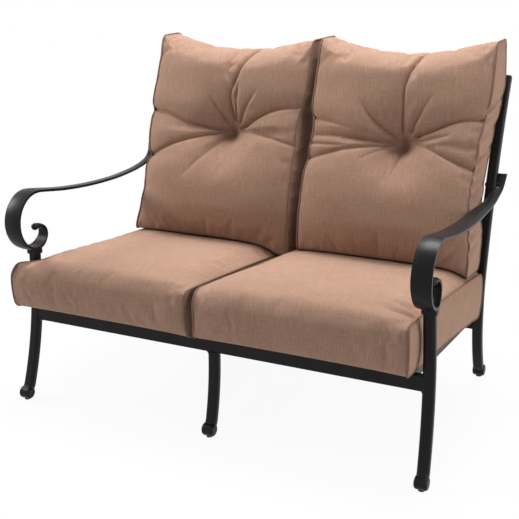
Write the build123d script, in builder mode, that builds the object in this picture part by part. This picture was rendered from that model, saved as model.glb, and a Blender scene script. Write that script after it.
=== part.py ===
from build123d import *
import os
from math import asin, atan, cos, degrees, radians, sin, tan

os.makedirs("parts", exist_ok=True)

# A patio loveseat: a cast frame with scrolled arms, two seat cushions and two back cushions.
# X is the width, the front faces -Y and Z is up. The origin is on the floor under the middle.
# All lengths are in millimetres and all angles in degrees.

# Places of the legs and posts
leg_x = 598.0
post_x = 585.0
front_leg_y = -351.9
leg_to_post = 575.0
leg_above_deck = 159.5

# Clearances
fit_clearance = 0.15
cushion_clearance = 0.3
overrun = 6.0

# Front legs
leg_width = 32.0
leg_depth = 25.0
leg_corner = 9.0
leg_straight = 63.0
leg_reach = 57.0
leg_splay = 2.2
ankle_z = 45.0

# Feet: a rolled toe with a glide under it
toe_radius = 35.0
toe_turn = 50.0
toe_lead = 16.0
barrel_radius = 18.0
barrel_width = 36.0
barrel_round = 7.0
glide_radius = 9.0
glide_rise = 3.0
glide_seat = 2.0
glide_stem_radius = 3.5
glide_stem_length = 12.0

# Front rail and front centre leg
rail_depth = 20.0
rail_height = 40.0
front_rail_below_deck = 3.9
front_rail_shift = 7.2
bracket_radius = 8.0
bracket_depth = 16.0
center_leg_reach = 27.0

# Rear rail and rear centre leg
rear_rail_below_deck = 2.1
rear_rail_shift = 1.5
rear_center_reach = 30.0

# Back posts, from the floor up: a curved leg, a short straight and two arcs that lean back
post_width = 30.0
post_depth = 25.0
post_corner = 7.0
post_straight_low = 235.0
post_straight_high = 275.0
rear_reach = 41.0
post_bend_radius = 350.0
post_bend_turn = 11.0
post_lean_radius = 2044.0
post_lean_turn = 17.1
post_top_chamfer = 2.0

# Back frame between the posts
back_rail_height = 25.0
top_rail_from_end = 27.0
back_bar_count = 7
back_bar_spacing = 150.0
back_bar_width = 22.0
center_bar_width = 44.0
back_bar_depth = 10.0
back_bar_corner = 3.0

# Seat deck: bearers and slats on a plane that falls to the rear
deck_slope = 6.0
deck_height = 283.5
bearer_x = 540.0
bearer_width = 25.0
bearer_height = 35.0
slat_count = 7
slat_length = 1104.0
slat_width = 40.0
slat_thickness = 5.0
slat_corner = 6.0
slat_margin = 12.0

# Screws, studs and bolts
screw_radius = 2.2
screw_head_radius = 4.4
screw_length = 22.0
screw_sink_angle = 82.0
stud_radius = 4.0
stud_reach = 16.0
bolt_radius = 3.0
bolt_reach = 9.0
bolt_head_radius = 6.0
bolt_head_height = 4.0

# Arms: a strap along a chain of arcs from the crest over the front leg
arm_crest_y = 1.0
crest_above_leg = 187.0
arm_thickness = 10.0
arm_crown = 2.5
scroll_radius = 85.0
scroll_turn = 180.0
neck_radius = 50.0
neck_turn = 55.0
curl_radius = 26.0
curl_turn = 150.0
scroll_front_width = 52.0
crest_width = 50.0
scroll_bottom_width = 44.0
neck_width = 32.0
curl_width = 20.0
curl_ball_radius = 10.5
fall_radius = 120.0
fall_turn = 12.5
run_radius = 2025.0
run_turn = 11.5
flank_turn = 3.0
lift_radius = 414.0
lift_turn = 14.0
end_radius = 55.0
end_turn = 67.0
run_start_width = 49.4
run_end_width = 40.8
flank_end_width = 31.8
lift_end_width = 27.6
arm_end_width = 26.2
flank_end_shift = 5.0
lift_end_shift = 8.0
arm_end_shift = 14.3
pad_width = 40.0
pad_depth = 32.0
lug_radius = 9.0
lug_depth = 11.0
lug_share = 0.42
lug_from_post = 6.1

# Seat cushions, measured on the deck
seat_height = 136.0
seat_crown = 23.0
seat_overhang = 78.0
seat_rear_gap = 17.0
seat_gap_front_x = -38.0
seat_gap_rear_x = -11.0
seat_gap = 9.0
seat_right_front_x = 570.0
seat_right_rear_x = 597.0
seat_ear_front_x = -630.5
seat_ear_rear_x = -600.0
seat_left_side_x = -580.5
seat_ear_gap = 8.0
seat_draw_in = 7.0
seat_side_bulge = 2.0
seat_nose_round = 52.0
seat_back_round = 26.0

# Back cushions, each about its own middle
back_cushion_left_x = -242.0
back_cushion_right_x = 326.0
back_half_width = 271.0
back_foot_from_leg = 425.0
back_foot_z = 508.0
back_top_z = 1033.0
back_lean = 21.1
back_top_dip = 44.0
back_front_crown = 34.0
back_side_bulge = 3.0
back_seat_gap = 0.85
back_post_gap = 3.0
back_straight_above = 900.0
tuft_z = 727.0
tuft_depth = 56.0
tuft_radius = 125.0
tuft_pit_radius = 9.0

# Shares and angles, from one end of a form to the other
arm_rolls = (0, 1, 10.6, 10, 11.6, 14)
nose_angles = (20, 42, 65, 90)
seat_body_steps = 5
tuft_crown_share = 0.8
# Each row: share of the back cushion's height, of its half width and of its crown
back_shares = (
    (0, 0.97, 0.35),
    (0.08, 0.985, 0.6),
    (0.15, 0.99, 0.8),
    (0.23, 0.96, 1),
    (0.31, 0.895, 1),
    (0.38, 0.895, 0.95),
    (0.51, 0.915, 0.8),
    (0.64, 0.92, 0.85),
    (0.76, 0.945, 0.95),
    (0.86, 0.966, 0.8),
    (1, 0.975, 0.35),
)

# Values that follow from the ones above
leg_top_z = deck_height + leg_above_deck
arm_crest_z = leg_top_z + crest_above_leg
post_y = front_leg_y + leg_to_post
front_rail_y = front_leg_y - front_rail_shift
rear_rail_y = post_y + rear_rail_shift
back_foot_y = front_leg_y + back_foot_from_leg
barrel_z = glide_rise + barrel_radius
post_inner_x = post_x - post_width / 2
post_outer_x = post_x + post_width / 2
bearer_start_y = front_rail_y + rail_depth / 2
bearer_end_y = rear_rail_y - rail_depth / 2
deck = Plane(
    origin=(0, front_rail_y, deck_height),
    x_dir=(1, 0, 0),
    z_dir=(0, sin(radians(deck_slope)), cos(radians(deck_slope))),
)
rear_deck_z = deck_height - tan(radians(deck_slope)) * (rear_rail_y - front_rail_y)
front_rail_bottom = deck_height - front_rail_below_deck - rail_height
rear_rail_bottom = rear_deck_z - rear_rail_below_deck - rail_height
deck_length = (bearer_end_y - bearer_start_y) / cos(radians(deck_slope))
deck_start = (bearer_start_y - front_rail_y) / cos(radians(deck_slope))
bearer_xs = (-bearer_x, 0, bearer_x)
top_rail_lean = post_bend_turn + post_lean_turn
top_rail_lean -= degrees(top_rail_from_end / post_lean_radius)
pieces = {}


def finish_piece(builder, name):
    """Labels a finished piece, writes its file and keeps it for the pieces that meet it."""
    builder.part.label = name
    export_step(builder.part, f"parts/{name}.step")
    pieces[name] = builder.part


def deck_z(y):
    """Height of the deck over the floor at one place along Y."""
    return deck_height - tan(radians(deck_slope)) * (y - front_rail_y)


def post_bend_end():
    """Middle of the post where its lower bend meets its long arc."""
    turn = radians(post_bend_turn)
    y = post_y + post_bend_radius * (1 - cos(turn))
    z = post_straight_high + post_bend_radius * sin(turn)
    return y, z


def post_point(lean):
    """Middle of the post where it leans back by an angle, on its long arc."""
    y, z = post_bend_end()
    start = radians(post_bend_turn)
    y += post_lean_radius * (cos(start) - cos(radians(lean)))
    z += post_lean_radius * (sin(radians(lean)) - sin(start))
    return y, z


def post_lean(z):
    """The post's lean at a height on its long arc."""
    rise = (z - post_bend_end()[1]) / post_lean_radius
    return degrees(asin(sin(radians(post_bend_turn)) + rise))


def post_front_y(z):
    """Front face of the post at a height on its long arc."""
    lean = post_lean(z)
    return post_point(lean)[0] - post_depth / 2 / cos(radians(lean))


def arm_arcs(stretch):
    """Middle line of the arm at x = 0: the arcs to the post and the arcs of the scroll."""
    crest = (front_leg_y + arm_crest_y, arm_crest_z)
    with BuildLine(Plane.YZ):
        fall = JernArc(crest, (1, 0), fall_radius, -fall_turn)
        run = JernArc(fall @ 1, fall % 1, run_radius * stretch, run_turn)
        flank = JernArc(run @ 1, run % 1, run_radius, flank_turn)
        lift = JernArc(flank @ 1, flank % 1, lift_radius, lift_turn)
        end = JernArc(lift @ 1, lift % 1, end_radius, end_turn)
    with BuildLine(Plane.YZ):
        high = JernArc(crest, (-1, 0), scroll_radius, scroll_turn / 2)
        low = JernArc(high @ 1, high % 1, scroll_radius, scroll_turn / 2)
        neck = JernArc(low @ 1, low % 1, neck_radius, neck_turn)
        curl = JernArc(neck @ 1, neck % 1, curl_radius, curl_turn)
    return (fall, run, flank, lift, end), (high, low, neck, curl)


# The arm's long run is stretched until its lug meets the post
run_arcs, scroll_arcs = arm_arcs(1)
lug = run_arcs[-1] @ lug_share
lug_gap = post_point(post_lean(lug.Z))[0] + lug_from_post - lug.Y
run_span = (run_arcs[1] @ 1).Y - (run_arcs[1] @ 0).Y
run_arcs, scroll_arcs = arm_arcs(1 + lug_gap / run_span)
lug_y = (run_arcs[-1] @ lug_share).Y
lug_z = (run_arcs[-1] @ lug_share).Z


# Feet and legs


def foot_barrel(x, y):
    """Adds the rolled toe, with the seat and the hole for its glide."""
    with BuildSketch(Plane.YZ.offset(x)) as end:
        with Locations((y, barrel_z)):
            Circle(barrel_radius)
    extrude(end.sketch, amount=barrel_width / 2, both=True)
    fillet(edges().filter_by(GeomType.CIRCLE), radius=barrel_round)


def glide_hole(x, y):
    """Cuts the flat seat and the hole that a glide presses into."""
    seat_z = glide_rise + glide_seat
    with Locations((x, y, 0)):
        Cylinder(
            glide_radius + fit_clearance,
            seat_z,
            align=(Align.CENTER, Align.CENTER, Align.MIN),
            mode=Mode.SUBTRACT,
        )
    with Locations((x, y, seat_z)):
        Cylinder(
            glide_stem_radius + fit_clearance,
            glide_stem_length + fit_clearance,
            align=(Align.CENTER, Align.CENTER, Align.MIN),
            mode=Mode.SUBTRACT,
        )


def build_glide(name, place):
    """A glide: a disc under the toe and the stem that holds it."""
    with BuildPart() as glide:
        with Locations((*place, 0)):
            Cylinder(
                glide_radius,
                glide_rise + glide_seat,
                align=(Align.CENTER, Align.CENTER, Align.MIN),
            )
        with Locations((*place, glide_rise + glide_seat)):
            Cylinder(
                glide_stem_radius,
                glide_stem_length,
                align=(Align.CENTER, Align.CENTER, Align.MIN),
            )
    finish_piece(glide, name)


def curved_leg(plane, start, straight, drop, reach, way, width, depth, corner):
    """Sweeps a leg down its plane: a straight, a long curve and the turn of its toe."""
    turn = 2 * degrees(atan(reach / drop))
    with BuildLine(plane) as path:
        if straight:
            upper = Line(start, (start[0], start[1] - straight))
            curve = JernArc(upper @ 1, upper % 1, drop / sin(radians(turn)), way * turn)
        else:
            curve = JernArc(start, (0, -1), drop / sin(radians(turn)), way * turn)
        JernArc(curve @ 1, curve % 1, toe_radius, way * toe_turn)
    top = Plane(origin=path.wire() @ 0, x_dir=plane.z_dir, z_dir=path.wire() % 0)
    with BuildSketch(top) as section:
        RectangleRounded(width, depth, corner)
    sweep(section.sketch, path=path.wire())


def front_leg(side, name):
    """A splayed front leg, cut level on top and drilled for the arm's stud."""
    splay = radians(leg_splay)
    plane = Plane(
        origin=(side * leg_x, 0, leg_top_z),
        x_dir=(0, 1, 0),
        z_dir=(cos(splay), 0, side * sin(splay)),
    )
    foot_x = side * (leg_x + (leg_top_z - barrel_z) * tan(splay))
    foot_y = front_leg_y - leg_reach - toe_lead
    drop = leg_top_z - leg_straight - ankle_z
    with BuildPart() as leg:
        foot_barrel(foot_x, foot_y)
        curved_leg(
            plane,
            (front_leg_y, overrun),
            leg_straight + overrun,
            drop,
            leg_reach,
            -1,
            leg_width,
            leg_depth,
            leg_corner,
        )
        split(bisect_by=Plane.XY.offset(leg_top_z), keep=Keep.BOTTOM)
        glide_hole(foot_x, foot_y)
        with Locations((side * leg_x, front_leg_y, leg_top_z)):
            Cylinder(
                stud_radius + fit_clearance,
                2 * (stud_reach + fit_clearance),
                mode=Mode.SUBTRACT,
            )
    finish_piece(leg, name)
    return foot_x, foot_y


def center_leg(top_y, top_z, reach, way, name):
    """A middle leg that stands under a rail."""
    foot_y = top_y + way * (reach + toe_lead)
    with BuildPart() as leg:
        foot_barrel(0, foot_y)
        curved_leg(
            Plane.YZ,
            (top_y, top_z),
            0,
            top_z - ankle_z,
            reach,
            way,
            leg_width,
            leg_depth,
            leg_corner,
        )
        glide_hole(0, foot_y)
    finish_piece(leg, name)
    return 0, foot_y


def back_post(side, name):
    """A back post that is one piece with its rear leg, drilled for the arm's bolt."""
    foot_y = post_y + rear_reach + toe_lead
    plane = Plane.YZ.offset(side * post_x)
    with BuildPart() as post:
        foot_barrel(side * post_x, foot_y)
        curved_leg(
            plane,
            (post_y, post_straight_high),
            post_straight_high - post_straight_low,
            post_straight_low - ankle_z,
            rear_reach,
            1,
            post_width,
            post_depth,
            post_corner,
        )
        with BuildLine(plane) as upper_path:
            bend = JernArc((post_y, post_straight_high), (0, 1), post_bend_radius, -post_bend_turn)
            JernArc(bend @ 1, bend % 1, post_lean_radius, -post_lean_turn)
        with BuildSketch(Plane(origin=bend @ 0, x_dir=(1, 0, 0), z_dir=(0, 0, 1))):
            RectangleRounded(post_width, post_depth, post_corner)
        sweep(path=upper_path.wire())
        chamfer(faces().sort_by(Axis.Z)[-1].edges(), length=post_top_chamfer)
        glide_hole(side * post_x, foot_y)
        with BuildSketch(plane):
            with Locations((lug_y, lug_z)):
                Circle(bolt_radius + fit_clearance)
        extrude(amount=post_width, both=True, mode=Mode.SUBTRACT)
    finish_piece(post, name)
    return side * post_x, foot_y


# Arms


def arm_section(point, heading, width, roll, shift):
    """One section of the strap: flat inside, crowned outside, with crisp edges."""
    across = Vector(-1, 0, 0).rotate(Axis((0, 0, 0), heading), roll)
    plane = Plane(origin=point + Vector(leg_x + shift, 0, 0), x_dir=across, z_dir=heading)
    half = width / 2
    top = arm_thickness / 2
    shoulder = top - arm_crown
    with BuildSketch(plane) as section:
        with BuildLine():
            Line((-half, -top), (half, -top))
            Line((half, -top), (half, shoulder))
            ThreePointArc((half, shoulder), (0, top), (-half, shoulder))
            Line((-half, shoulder), (-half, -top))
        make_face()
    return section.sketch


def scroll_sections():
    """Sections from the curl's tip, round the scroll and up to just before the crest."""
    widths = (crest_width, scroll_front_width, scroll_bottom_width, neck_width, curl_width)
    counts = (5, 5, 3, 7)
    rows = list(zip(scroll_arcs, counts, widths, widths[1:]))
    sections = []
    for arc, count, start_width, end_width in reversed(rows):
        for step in range(count, 0, -1):
            share = step / count
            width = start_width + (end_width - start_width) * share
            sections.append(arm_section(arc @ share, (arc % share) * -1, width, 0, 0))
    return sections


def run_sections():
    """Sections from the crest to the arm's end beside the post."""
    widths = (crest_width, run_start_width, run_end_width, flank_end_width)
    widths += (lift_end_width, arm_end_width)
    shifts = (0, 0, 0, flank_end_shift, lift_end_shift, arm_end_shift)
    counts = (2, 5, 2, 2, 4)
    sections = [arm_section(run_arcs[0] @ 0, run_arcs[0] % 0, crest_width, 0, 0)]
    for index, arc in enumerate(run_arcs):
        for step in range(1, counts[index] + 1):
            share = step / counts[index]
            width = widths[index] + (widths[index + 1] - widths[index]) * share
            shift = shifts[index] + (shifts[index + 1] - shifts[index]) * share
            roll = arm_rolls[index] + (arm_rolls[index + 1] - arm_rolls[index]) * share
            sections.append(arm_section(arc @ share, arc % share, width, roll, shift))
    return sections


def build_right_arm():
    """The right arm: strap and scroll in one, its pad, its curl's ball and its rear lug."""
    scroll_bottom_z = arm_crest_z - 2 * scroll_radius
    curl_tip = scroll_arcs[-1] @ 1
    with BuildPart() as arm:
        loft(scroll_sections() + run_sections())
        with Locations((leg_x, curl_tip.Y, curl_tip.Z)):
            Sphere(curl_ball_radius)
        with BuildSketch(Plane.XY.offset(leg_top_z)):
            with Locations((leg_x, front_leg_y)):
                RectangleRounded(pad_width, pad_depth, leg_corner)
        extrude(amount=scroll_bottom_z - leg_top_z)
        with BuildSketch(Plane.YZ.offset(post_outer_x)):
            with Locations((lug_y, lug_z)):
                Circle(lug_radius)
        extrude(amount=lug_depth)
        add(pieces["right_back_post"], mode=Mode.SUBTRACT)
        with BuildSketch(Plane.YZ.offset(post_inner_x)):
            with Locations((lug_y, lug_z)):
                Circle(bolt_radius + fit_clearance)
        extrude(amount=post_width + bolt_reach + fit_clearance, mode=Mode.SUBTRACT)
        with Locations((leg_x, front_leg_y, leg_top_z)):
            Cylinder(
                stud_radius + fit_clearance,
                2 * (stud_reach + fit_clearance),
                mode=Mode.SUBTRACT,
            )
    return arm


def build_arms():
    """Both arms: the left one is the right one's mirror image."""
    right = build_right_arm()
    finish_piece(right, "right_arm")
    with BuildPart() as left:
        mirror(right.part, about=Plane.YZ)
    finish_piece(left, "left_arm")


def build_arm_fasteners():
    """A stud in each front leg's top and a bolt through each back post."""
    with BuildPart() as studs:
        with Locations((-leg_x, front_leg_y, leg_top_z), (leg_x, front_leg_y, leg_top_z)):
            Cylinder(stud_radius, 2 * stud_reach)
    finish_piece(studs, "arm_leg_studs")
    with BuildPart() as bolts:
        for side in (-1, 1):
            with BuildSketch(Plane.YZ.offset(side * post_inner_x)):
                with Locations((lug_y, lug_z)):
                    Circle(bolt_radius)
            extrude(amount=side * (post_width + bolt_reach))
            with BuildSketch(Plane.YZ.offset(side * post_inner_x)):
                with Locations((lug_y, lug_z)):
                    RegularPolygon(bolt_head_radius, 6)
            extrude(amount=-side * bolt_head_height)
    finish_piece(bolts, "arm_post_bolts")


# Rails


def bracket(x, way, top_z):
    """A small rounded corner under a rail, on the side of a leg that way points to."""
    with Locations((x + way * bracket_radius / 2, top_z - bracket_radius / 2)):
        Rectangle(bracket_radius, bracket_radius)
    with Locations((x + way * bracket_radius, top_z - bracket_radius)):
        Circle(bracket_radius, mode=Mode.SUBTRACT)


def build_front_rail():
    """The front rail, coped to the front legs, with rounded corners under it."""
    leg_face_x = leg_x + (leg_top_z - front_rail_bottom) * tan(radians(leg_splay)) - leg_width / 2
    with BuildPart() as rail:
        with BuildSketch(Plane.XZ.offset(-front_rail_y)):
            with Locations((0, front_rail_bottom + rail_height / 2)):
                Rectangle(2 * (leg_face_x + leg_corner), rail_height)
        extrude(amount=rail_depth / 2, both=True)
        with BuildSketch(Plane.XZ.offset(-front_rail_y)):
            for side in (-1, 1):
                bracket(side * leg_face_x, -side, front_rail_bottom)
                bracket(side * leg_width / 2, side, front_rail_bottom)
        extrude(amount=bracket_depth / 2, both=True)
        for name in ("front_left_leg", "front_right_leg", "front_center_leg"):
            add(pieces[name], mode=Mode.SUBTRACT)
    finish_piece(rail, "front_rail")


def build_post_rail(name, center, lean, depth, height):
    """A rail between the back posts, coped to them and turned to their lean."""
    with BuildPart() as rail:
        with BuildSketch(Plane.YZ):
            with Locations(center):
                Rectangle(depth, height, rotation=-lean)
        extrude(amount=post_inner_x + post_corner, both=True)
        add(pieces["left_back_post"], mode=Mode.SUBTRACT)
        add(pieces["right_back_post"], mode=Mode.SUBTRACT)
    finish_piece(rail, name)


def build_back_bars():
    """Upright bars between the lower and the top back rail, on the posts' long arc."""
    start = post_bend_end()
    turn = top_rail_lean - post_bend_turn
    lean = radians(post_bend_turn)
    for index in range(back_bar_count):
        x = (index - (back_bar_count - 1) / 2) * back_bar_spacing
        width = center_bar_width if x == 0 else back_bar_width
        with BuildPart() as bar:
            with BuildLine(Plane.YZ.offset(x)) as path:
                arc = JernArc(start, (sin(lean), cos(lean)), post_lean_radius, -turn)
            with BuildSketch(Plane(origin=arc @ 0, x_dir=(1, 0, 0), z_dir=arc % 0)):
                RectangleRounded(width, back_bar_depth, back_bar_corner)
            sweep(path=path.wire())
            add(pieces["lower_back_rail"], mode=Mode.SUBTRACT)
            add(pieces["back_top_rail"], mode=Mode.SUBTRACT)
        finish_piece(bar, f"back_bar_{index + 1}")


# Seat deck


def slat_places():
    """Where each slat's middle lies along the deck, from front to rear."""
    first = deck_start + slat_margin + slat_width / 2
    last = deck_start + deck_length - slat_margin - slat_width / 2
    step = (last - first) / (slat_count - 1)
    return [first + step * index for index in range(slat_count)]


def build_bearers():
    """Three bearers under the slats, with a pilot hole for each screw."""
    names = ("side_bearer_left", "center_bearer", "side_bearer_right")
    drop = slat_thickness / cos(radians(deck_slope))
    for name, x in zip(names, bearer_xs):
        front = deck_z(bearer_start_y) - drop
        rear = deck_z(bearer_end_y) - drop
        with BuildPart(deck) as bearer:
            with BuildSketch(Plane.YZ.offset(x)):
                with BuildLine():
                    Polyline(
                        (bearer_start_y, front),
                        (bearer_end_y, rear),
                        (bearer_end_y, rear - bearer_height),
                        (bearer_start_y, front - bearer_height),
                        close=True,
                    )
                make_face()
            extrude(amount=bearer_width / 2, both=True)
            with Locations([(x, place, -slat_thickness) for place in slat_places()]):
                Cylinder(
                    screw_radius + fit_clearance,
                    screw_length,
                    align=(Align.CENTER, Align.CENTER, Align.MAX),
                    mode=Mode.SUBTRACT,
                )
        finish_piece(bearer, name)


def build_slats():
    """Cross slats on the bearers, with a countersunk hole over each bearer."""
    for index, place in enumerate(slat_places()):
        with BuildPart(deck) as slat:
            with BuildSketch(deck):
                with Locations((0, place)):
                    RectangleRounded(slat_length, slat_width, slat_corner)
            extrude(amount=-slat_thickness)
            with Locations([(x, place, 0) for x in bearer_xs]):
                CounterSinkHole(
                    screw_radius + fit_clearance,
                    screw_head_radius + fit_clearance,
                    counter_sink_angle=screw_sink_angle,
                )
        finish_piece(slat, f"seat_slat_{index + 1}")


def build_slat_screws():
    """A countersunk screw through each slat into each bearer."""
    sink = (screw_head_radius - screw_radius) / tan(radians(screw_sink_angle / 2))
    with BuildPart() as screw:
        with BuildSketch(Plane.XZ):
            with BuildLine():
                Polyline(
                    (0, 0),
                    (screw_head_radius, 0),
                    (screw_radius, -sink),
                    (screw_radius, -screw_length),
                    (0, -screw_length),
                    close=True,
                )
            make_face()
        revolve(axis=Axis.Z)
    with BuildPart(deck) as screws:
        with Locations([(x, place, 0) for x in bearer_xs for place in slat_places()]):
            add(screw.part)
    finish_piece(screws, "slat_screws")


# Cushions


def seat_section(place, left, right, low, high, crown):
    """One section of a seat cushion, square to the deck."""
    middle_x = (left + right) / 2
    middle_z = (low + high) / 2
    plane = Plane(
        origin=deck.from_local_coords(Vector(0, place, 0)),
        x_dir=(1, 0, 0),
        z_dir=deck.y_dir * -1,
    )
    with BuildSketch(plane) as section:
        with BuildLine():
            Line((left, low), (right, low))
            ThreePointArc((right, low), (right + seat_side_bulge, middle_z), (right, high))
            ThreePointArc((right, high), (middle_x, high + crown), (left, high))
            ThreePointArc((left, high), (left - seat_side_bulge, middle_z), (left, low))
        make_face()
    return section.sketch


def seat_sections(left_front, left_rear, right_front, right_rear):
    """Lofts a seat cushion along the deck, with a round nose, a crown and drawn-in sides."""
    front = -seat_overhang
    rear = deck_start + deck_length - seat_rear_gap
    nose = []
    tail = []
    for angle in nose_angles:
        depth_share = 1 - cos(radians(angle))
        inset_share = 1 - sin(radians(angle))
        nose.append((front + seat_nose_round * depth_share, inset_share, seat_nose_round))
        tail.append((rear - seat_back_round * depth_share, inset_share, seat_back_round))
    body_start = nose[-1][0]
    body_step = (tail[-1][0] - body_start) / seat_body_steps
    body = [(body_start + body_step * step, 0, 0) for step in range(seat_body_steps + 1)]
    for stations in (nose, body, tail):
        sections = []
        for place, inset_share, round_size in stations:
            along = (place - front) / (rear - front)
            draw = seat_draw_in * sin(radians(180 * along))
            left = left_front + (left_rear - left_front) * along + draw
            right = right_front + (right_rear - right_front) * along - draw
            inset = inset_share * round_size
            low = cushion_clearance + inset
            high = seat_height - inset
            crown = seat_crown * (1 - inset_share)
            sections.append(seat_section(place, left, right, low, high, crown))
        loft(sections)


def build_seat_cushions():
    """The right seat cushion, and the left one notched behind the front leg."""
    right_x = (seat_gap_front_x + seat_gap / 2, seat_gap_rear_x + seat_gap / 2)
    left_x = (seat_gap_front_x - seat_gap / 2, seat_gap_rear_x - seat_gap / 2)
    with BuildPart() as right:
        seat_sections(right_x[0], right_x[1], seat_right_front_x, seat_right_rear_x)
    finish_piece(right, "seat_cushion_right")
    ear_y = front_leg_y - leg_depth / 2 - seat_ear_gap
    with BuildPart() as left:
        seat_sections(seat_ear_front_x, seat_ear_rear_x, left_x[0], left_x[1])
        with BuildSketch():
            with Locations((seat_left_side_x, ear_y)):
                Rectangle(leg_x, leg_to_post, align=(Align.MAX, Align.MIN))
        extrude(amount=arm_crest_z, mode=Mode.SUBTRACT)
    finish_piece(left, "seat_cushion_left")


def seat_space():
    """What the two seat cushions fill under the back cushions, all along their slide."""
    level = seat_height + back_seat_gap
    spans = (
        (seat_ear_front_x, seat_gap_rear_x),
        (seat_gap_front_x, seat_right_rear_x),
    )
    with BuildPart() as space:
        with BuildSketch(Plane(origin=deck.origin, x_dir=(1, 0, 0), z_dir=deck.y_dir * -1)):
            for left, right in spans:
                with BuildLine():
                    Polyline(
                        (right, level),
                        (right + seat_gap, level),
                        (right + seat_gap, 0),
                        (left - seat_gap, 0),
                        (left - seat_gap, level),
                        (left, level),
                    )
                    ThreePointArc(
                        (left, level),
                        ((left + right) / 2, level + seat_crown),
                        (right, level),
                    )
                make_face()
        extrude(amount=leg_to_post + seat_overhang, both=True)
    return space.part


def build_back_cushion(name, middle, taken):
    """A back cushion: drawn-in sides, a crowned front, a dipped top and one sewn tuft."""
    low_z = deck_z(post_y) + seat_height
    lean = tan(radians(back_lean))
    with BuildPart() as cushion:
        for share, width_share, crown_share in back_shares:
            z = low_z + (back_top_z - low_z) * share
            half = back_half_width * width_share
            front = back_foot_y + lean * max(z - back_foot_z, 0)
            rear = post_front_y(min(z, back_straight_above)) - back_post_gap
            bulge = back_side_bulge
            center_y = (front + rear) / 2
            with BuildSketch(Plane.XY.offset(z)):
                with BuildLine():
                    ThreePointArc(
                        (middle - half, front),
                        (middle, front - back_front_crown * crown_share),
                        (middle + half, front),
                    )
                    ThreePointArc(
                        (middle + half, front),
                        (middle + half + bulge, center_y),
                        (middle + half, rear),
                    )
                    Line((middle + half, rear), (middle - half, rear))
                    ThreePointArc(
                        (middle - half, rear),
                        (middle - half - bulge, center_y),
                        (middle - half, front),
                    )
                make_face()
        loft()
        add(taken, mode=Mode.SUBTRACT)
        dip_radius = (back_half_width**2 + back_top_dip**2) / (2 * back_top_dip)
        with BuildSketch(Plane.XZ):
            with Locations((middle, back_top_z - back_top_dip + dip_radius)):
                Circle(dip_radius)
        extrude(amount=leg_to_post, both=True, mode=Mode.SUBTRACT)
        tuft_y = back_foot_y + lean * (tuft_z - back_foot_z) - back_front_crown * tuft_crown_share
        outward = Vector(0, -cos(radians(back_lean)), sin(radians(back_lean)))
        axis_plane = Plane(
            origin=(middle, tuft_y, tuft_z),
            x_dir=(1, 0, 0),
            z_dir=outward.cross(Vector(1, 0, 0)) * -1,
        )
        with BuildSketch(axis_plane):
            with BuildLine():
                Line((0, -tuft_depth), (tuft_pit_radius, -tuft_depth))
                TangentArc(
                    (tuft_radius, 0),
                    (tuft_pit_radius, -tuft_depth),
                    tangent=(-1, 0),
                )
                Line((tuft_radius, 0), (tuft_radius, tuft_radius))
                Line((tuft_radius, tuft_radius), (0, tuft_radius))
                Line((0, tuft_radius), (0, -tuft_depth))
            make_face()
        revolve(axis=Axis((middle, tuft_y, tuft_z), outward), mode=Mode.SUBTRACT)
    finish_piece(cushion, name)


# Legs and posts first, because the rails and arms are coped to them
feet = [
    ("front_left_glide", front_leg(-1, "front_left_leg")),
    ("front_right_glide", front_leg(1, "front_right_leg")),
    (
        "front_center_glide",
        center_leg(front_rail_y, front_rail_bottom, center_leg_reach, -1, "front_center_leg"),
    ),
    ("rear_left_glide", back_post(-1, "left_back_post")),
    ("rear_right_glide", back_post(1, "right_back_post")),
    (
        "rear_center_glide",
        center_leg(rear_rail_y, rear_rail_bottom, rear_center_reach, 1, "rear_center_leg"),
    ),
]
for name, place in feet:
    build_glide(name, place)
build_front_rail()
rear_rail_z = rear_rail_bottom + rail_height / 2
build_post_rail("rear_rail", (rear_rail_y, rear_rail_z), 0, rail_depth, rail_height)
build_post_rail(
    "lower_back_rail", post_bend_end(), post_bend_turn, rail_depth, back_rail_height
)
build_post_rail(
    "back_top_rail", post_point(top_rail_lean), top_rail_lean, rail_depth, back_rail_height
)
build_back_bars()
build_bearers()
build_slats()
build_slat_screws()
build_arms()
build_arm_fasteners()
build_seat_cushions()
space = seat_space()
build_back_cushion("back_cushion_left", back_cushion_left_x, space)
build_back_cushion("back_cushion_right", back_cushion_right_x, space)
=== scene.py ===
import math

import bmesh
import bpy
import numpy as np
from mathutils import Matrix, Vector, noise


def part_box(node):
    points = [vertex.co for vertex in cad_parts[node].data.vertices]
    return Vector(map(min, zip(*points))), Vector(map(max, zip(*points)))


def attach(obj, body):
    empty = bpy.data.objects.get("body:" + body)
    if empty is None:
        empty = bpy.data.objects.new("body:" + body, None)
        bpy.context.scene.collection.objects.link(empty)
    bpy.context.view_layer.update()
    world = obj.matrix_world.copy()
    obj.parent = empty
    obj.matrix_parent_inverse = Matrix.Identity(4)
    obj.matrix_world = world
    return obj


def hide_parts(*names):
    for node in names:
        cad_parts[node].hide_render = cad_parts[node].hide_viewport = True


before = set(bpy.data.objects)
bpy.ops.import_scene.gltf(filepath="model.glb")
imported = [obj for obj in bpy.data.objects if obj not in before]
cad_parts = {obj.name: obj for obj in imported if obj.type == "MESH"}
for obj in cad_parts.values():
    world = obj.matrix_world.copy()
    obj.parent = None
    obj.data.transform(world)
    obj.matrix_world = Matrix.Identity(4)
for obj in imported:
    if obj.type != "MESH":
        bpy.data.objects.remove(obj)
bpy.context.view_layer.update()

# A patio loveseat in a pale studio. The cast frame is the CAD's own and gets its finish here; the
# four cushions are modelled, puffed by a cloth simulation and creased. Lengths are in metres.

# The photograph's camera
camera_place = Vector((1.1809, -2.4324, 1.2977))
camera_yaw = math.radians(25.58)
camera_pitch = math.radians(17.42)
camera_roll = math.radians(-0.73)
frame_pixels = 519
focal_pixels = 945.5
centre_pixel_x = 275.1
centre_pixel_y = 241.4

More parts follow.
